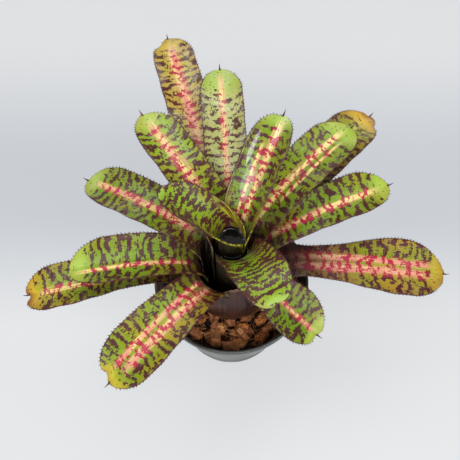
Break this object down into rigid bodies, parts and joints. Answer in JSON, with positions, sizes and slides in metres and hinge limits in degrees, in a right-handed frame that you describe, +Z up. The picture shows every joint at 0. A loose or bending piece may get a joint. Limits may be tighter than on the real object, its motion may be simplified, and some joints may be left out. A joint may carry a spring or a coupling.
{
  "type": "potted bromeliad",
  "caption": "Tank bromeliad with broad banded strap leaves round a water-filled cup, planted in coconut husk chips in a small round nursery pot.",
  "frame": {"origin": "middle of the pot's flat underside, on the surface the plant stands on", "axes": "+Z up along the pot's axis, -Y towards the front of the pot where the husk shows between the leaves"},
  "size_m": [0.3342, 0.2811, 0.2338],
  "materials": {
    "pot_plastic": "satin black moulded plastic, scuffed, with a rolled lip",
    "packed_husk": "dark damp fibrous coconut husk",
    "husk": "orange-brown chipped coconut husk, fibrous and matt",
    "stem": "rough brown stem and wiry roots",
    "leaf": "glossy lime-green leaf with broken maroon cross bands, a cream and crimson middle stripe and fine dark teeth on its margins",
    "dry_leaf": "dark maroon-brown dead leaf base, finely ribbed, satin",
    "water": "still dark water"
  },
  "bodies": {
    "root": {"pot": "pot_plastic", "growing_medium": "packed_husk", "stem_and_roots": "stem", "tank_water": "water", "leaf_01": "leaf", "leaf_02": "leaf", "leaf_03": "leaf", "leaf_04": "leaf", "leaf_05": "leaf", "leaf_06": "leaf", "leaf_07": "leaf", "leaf_08": "leaf", "leaf_09": "leaf", "leaf_10": "leaf", "leaf_11": "leaf", "leaf_12": "leaf", "leaf_13": "leaf", "leaf_14": "leaf", "leaf_15": "leaf", "dry_sheath_01": "dry_leaf", "dry_sheath_02": "dry_leaf", "husk_chip_01": "husk", "husk_chip_02": "husk", "husk_chip_03": "husk", "husk_chip_04": "husk", "husk_chip_05": "husk", "husk_chip_06": "husk", "husk_chip_07": "husk", "husk_chip_08": "husk", "husk_chip_09": "husk", "husk_chip_10": "husk", "husk_chip_11": "husk", "husk_chip_12": "husk", "husk_chip_13": "husk", "husk_chip_14": "husk", "husk_chip_15": "husk", "husk_chip_16": "husk", "husk_chip_17": "husk", "husk_chip_18": "husk", "husk_chip_19": "husk", "husk_chip_20": "husk", "husk_chip_21": "husk", "husk_chip_22": "husk", "husk_chip_23": "husk", "husk_chip_24": "husk", "husk_chip_25": "husk", "husk_chip_26": "husk", "husk_chip_27": "husk", "husk_chip_28": "husk", "husk_chip_29": "husk", "husk_chip_30": "husk"}
  },
  "joints": []
}
